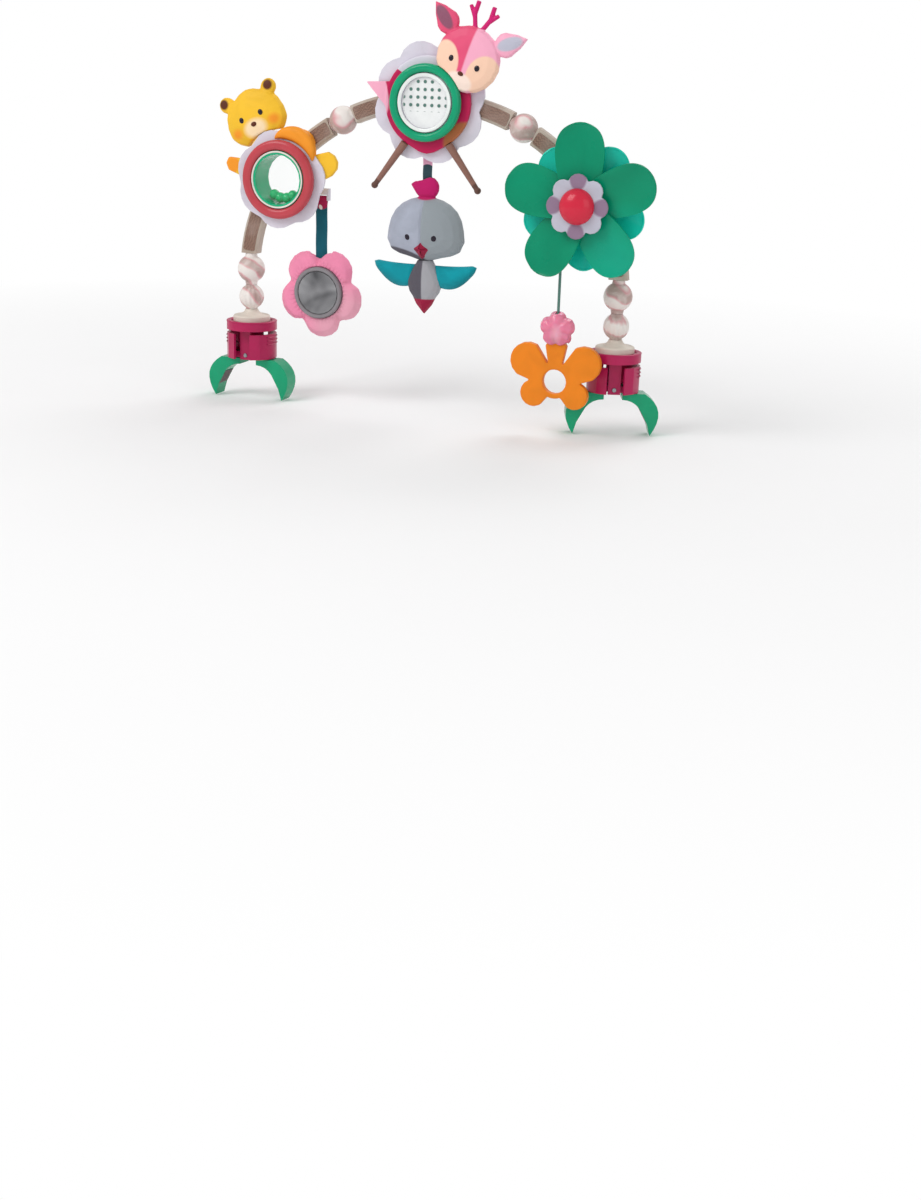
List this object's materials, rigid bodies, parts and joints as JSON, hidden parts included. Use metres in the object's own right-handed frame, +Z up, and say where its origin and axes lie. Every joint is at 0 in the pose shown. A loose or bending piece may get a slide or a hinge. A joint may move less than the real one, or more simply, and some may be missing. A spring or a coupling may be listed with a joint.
{
  "type": "stroller play arch",
  "caption": "Play arch for a stroller: bowed bars and beads between two swivelling peg clips, with a rattle ring, an animal ring, a propeller and hanging toys.",
  "frame": {"origin": "midway between the grips of the two clips", "axes": "+X from the left clip to the right clip, +Y away from the side the toys face, +Z up"},
  "size_m": [0.4816, 0.1058, 0.3989],
  "materials": {
    "bead_cord": "braided cord",
    "bird_body": "padded cloth",
    "bird_head": "padded cloth",
    "bird_strap": "woven ribbon",
    "cord_bead": "translucent plastic",
    "cub_back_window": "clear plastic",
    "cub_body": "matte moulded plastic",
    "cub_chamber": "glossy plastic",
    "cub_front_window": "clear plastic",
    "cub_head": "matte moulded plastic",
    "cub_housing": "satin moulded plastic",
    "cub_rattle": "glossy plastic",
    "cub_spin_ring": "glossy plastic",
    "deer_body": "satin moulded plastic",
    "deer_head": "satin moulded plastic",
    "deer_housing": "satin moulded plastic",
    "deer_left_leg": "matte moulded plastic",
    "deer_right_leg": "matte moulded plastic",
    "deer_spin_ring": "glossy plastic",
    "deer_window": "clear plastic",
    "flower_bezel": "satin plastic",
    "flower_mirror": "mirror film",
    "flower_strap": "woven ribbon",
    "flower_toy": "padded satin cloth",
    "left_clip_body": "satin moulded plastic",
    "left_clip_pin": "bright steel",
    "left_clip_spring": "bright steel",
    "left_crown_bar": "matte moulded plastic with wood-look inlays",
    "left_foot": "satin moulded plastic",
    "left_inner_claw": "glossy plastic with a soft pad face",
    "left_inner_lever": "satin moulded plastic",
    "left_lower_bar": "matte moulded plastic with wood-look inlays",
    "left_lower_bead": "satin, swirled white and pink",
    "left_outer_claw": "glossy plastic with a soft pad face",
    "left_outer_lever": "satin moulded plastic",
    "left_top_bead": "satin, swirled white and pink",
    "left_upper_bar": "matte moulded plastic with wood-look inlays",
    "left_upper_bead": "satin, swirled white and pink",
    "prop_axle": "bright steel",
    "prop_body": "satin moulded plastic",
    "prop_dome": "glossy plastic",
    "prop_front_petals": "satin thin plastic",
    "prop_rear_petals": "satin thin plastic",
    "prop_rosette": "matte plastic",
    "right_clip_body": "satin moulded plastic",
    "right_clip_pin": "bright steel",
    "right_clip_spring": "bright steel",
    "right_crown_bar": "matte moulded plastic with wood-look inlays",
    "right_foot": "satin moulded plastic",
    "right_inner_claw": "glossy plastic with a soft pad face",
    "right_inner_lever": "satin moulded plastic",
    "right_lower_bar": "matte moulded plastic with wood-look inlays",
    "right_lower_bead": "satin, swirled white and pink",
    "right_outer_claw": "glossy plastic with a soft pad face",
    "right_outer_lever": "satin moulded plastic",
    "right_top_bead": "satin, swirled white and pink",
    "right_upper_bar": "matte moulded plastic with wood-look inlays",
    "right_upper_bead": "satin, swirled white and pink",
    "teether": "soft rubbery plastic"
  },
  "bodies": {
    "arch": {"left_foot": "left_foot", "right_foot": "right_foot", "left_lower_bar": "left_lower_bar", "left_upper_bar": "left_upper_bar", "left_crown_bar": "left_crown_bar", "right_lower_bar": "right_lower_bar", "right_upper_bar": "right_upper_bar", "right_crown_bar": "right_crown_bar", "left_top_bead": "left_top_bead", "right_top_bead": "right_top_bead", "cub_housing": "cub_housing", "cub_chamber": "cub_chamber", "cub_front_window": "cub_front_window", "cub_back_window": "cub_back_window", "cub_head": "cub_head", "cub_body": "cub_body", "deer_housing": "deer_housing", "deer_window": "deer_window", "deer_body": "deer_body", "deer_head": "deer_head", "deer_left_leg": "deer_left_leg", "deer_right_leg": "deer_right_leg", "prop_body": "prop_body", "prop_axle": "prop_axle"},
    "left_lower_bead": {"left_lower_bead": "left_lower_bead"},
    "left_upper_bead": {"left_upper_bead": "left_upper_bead"},
    "left_clip": {"left_clip_body": "left_clip_body", "left_clip_pin": "left_clip_pin", "left_clip_spring": "left_clip_spring"},
    "left_inner_jaw": {"left_inner_lever": "left_inner_lever", "left_inner_claw": "left_inner_claw"},
    "left_outer_jaw": {"left_outer_lever": "left_outer_lever", "left_outer_claw": "left_outer_claw"},
    "right_lower_bead": {"right_lower_bead": "right_lower_bead"},
    "right_upper_bead": {"right_upper_bead": "right_upper_bead"},
    "right_clip": {"right_clip_body": "right_clip_body", "right_clip_pin": "right_clip_pin", "right_clip_spring": "right_clip_spring"},
    "right_inner_jaw": {"right_inner_lever": "right_inner_lever", "right_inner_claw": "right_inner_claw"},
    "right_outer_jaw": {"right_outer_lever": "right_outer_lever", "right_outer_claw": "right_outer_claw"},
    "cub_ring": {"cub_spin_ring": "cub_spin_ring"},
    "cub_rattle": {"cub_rattle": "cub_rattle"},
    "deer_ring": {"deer_spin_ring": "deer_spin_ring"},
    "propeller": {"prop_front_petals": "prop_front_petals", "prop_rear_petals": "prop_rear_petals", "prop_rosette": "prop_rosette", "prop_dome": "prop_dome"},
    "flower_strap": {"flower_strap": "flower_strap"},
    "flower_toy": {"flower_toy": "flower_toy", "flower_bezel": "flower_bezel", "flower_mirror": "flower_mirror"},
    "bird_strap": {"bird_strap": "bird_strap"},
    "bird_toy": {"bird_head": "bird_head", "bird_body": "bird_body"},
    "cord": {"bead_cord": "bead_cord"},
    "teether": {"cord_bead": "cord_bead", "teether": "teether"}
  },
  "joints": [
    {"name": "left_lower_bead_spin", "type": "hinge", "parent": "arch", "child": "left_lower_bead", "pos_m": [-0.195, 0, 0.085], "axis": [0, 0, 1], "continuous": true},
    {"name": "left_upper_bead_spin", "type": "hinge", "parent": "arch", "child": "left_upper_bead", "pos_m": [-0.195, 0, 0.112], "axis": [0, 0, 1], "continuous": true},
    {"name": "left_clip_swivel", "type": "hinge", "parent": "arch", "child": "left_clip", "pos_m": [-0.195, 0, 0.05], "axis": [0, 0, 1], "range_deg": [-90, 90]},
    {"name": "left_inner_jaw_hinge", "type": "hinge", "parent": "left_clip", "child": "left_inner_jaw", "pos_m": [-0.195, 0, 0.0237], "axis": [0, 1, 0], "range_deg": [-8, 36], "stiffness_Nm_per_rad": 0.4, "deforming": ["left_clip_spring"]},
    {"name": "left_outer_jaw_hinge", "type": "hinge", "parent": "left_clip", "child": "left_outer_jaw", "pos_m": [-0.195, 0, 0.0237], "axis": [0, 1, 0], "range_deg": [-36, 8], "stiffness_Nm_per_rad": 0.4},
    {"name": "right_lower_bead_spin", "type": "hinge", "parent": "arch", "child": "right_lower_bead", "pos_m": [0.195, 0, 0.085], "axis": [0, 0, 1], "continuous": true},
    {"name": "right_upper_bead_spin", "type": "hinge", "parent": "arch", "child": "right_upper_bead", "pos_m": [0.195, 0, 0.112], "axis": [0, 0, 1], "continuous": true},
    {"name": "right_clip_swivel", "type": "hinge", "parent": "arch", "child": "right_clip", "pos_m": [0.195, 0, 0.05], "axis": [0, 0, 1], "range_deg": [-110, 0]},
    {"name": "right_inner_jaw_hinge", "type": "hinge", "parent": "right_clip", "child": "right_inner_jaw", "pos_m": [0.195, 0, 0.0237], "axis": [-0.342, 0.9397, 0], "range_deg": [-36, 8], "stiffness_Nm_per_rad": 0.4, "deforming": ["right_clip_spring"]},
    {"name": "right_outer_jaw_hinge", "type": "hinge", "parent": "right_clip", "child": "right_outer_jaw", "pos_m": [0.195, 0, 0.0237], "axis": [-0.342, 0.9397, 0], "range_deg": [-8, 36], "stiffness_Nm_per_rad": 0.4},
    {"name": "cub_ring_spin", "type": "hinge", "parent": "arch", "child": "cub_ring", "pos_m": [-0.15469, -0.02, 0.20408], "axis": [0, 1, 0], "continuous": true},
    {"name": "cub_rattle_spin", "type": "hinge", "parent": "arch", "child": "cub_rattle", "pos_m": [-0.15469, -0.0075, 0.20408], "axis": [0, 1, 0], "continuous": true},
    {"name": "deer_ring_spin", "type": "hinge", "parent": "arch", "child": "deer_ring", "pos_m": [0, -0.02, 0.28346], "axis": [0, 1, 0], "continuous": true},
    {"name": "propeller_spin", "type": "hinge", "parent": "arch", "child": "propeller", "pos_m": [0.16831, -0.05, 0.19921], "axis": [0, 1, 0], "continuous": true},
    {"name": "flower_strap_swing", "type": "hinge", "parent": "arch", "child": "flower_strap", "pos_m": [-0.11619, 0, 0.18758], "axis": [1, 0, 0], "range_deg": [-24, 40]},
    {"name": "flower_toy_swing", "type": "hinge", "parent": "flower_strap", "child": "flower_toy", "pos_m": [-0.11619, 0, 0.12438], "axis": [0, 1, 0], "range_deg": [-25, 20]},
    {"name": "bird_strap_swing", "type": "hinge", "parent": "arch", "child": "bird_strap", "pos_m": [-0.0035, 0, 0.24396], "axis": [1, 0, 0], "range_deg": [-20, 40]},
    {"name": "bird_toy_swing", "type": "hinge", "parent": "bird_strap", "child": "bird_toy", "pos_m": [-0.0035, 0, 0.20846], "axis": [0, 1, 0], "range_deg": [-30, 30]},
    {"name": "cord_swing", "type": "hinge", "parent": "arch", "child": "cord", "pos_m": [0.14631, -0.0355, 0.18271], "axis": [0, 1, 0], "range_deg": [-12, 25]},
    {"name": "teether_swing", "type": "hinge", "parent": "cord", "child": "teether", "pos_m": [0.14631, -0.0355, 0.09471], "axis": [1, 0, 0], "range_deg": [-35, 0.5]}
  ],
  "couplings": [
    {"joint": "left_outer_jaw_hinge", "follows": "left_inner_jaw_hinge", "ratio": -1},
    {"joint": "right_outer_jaw_hinge", "follows": "right_inner_jaw_hinge", "ratio": -1}
  ]
}
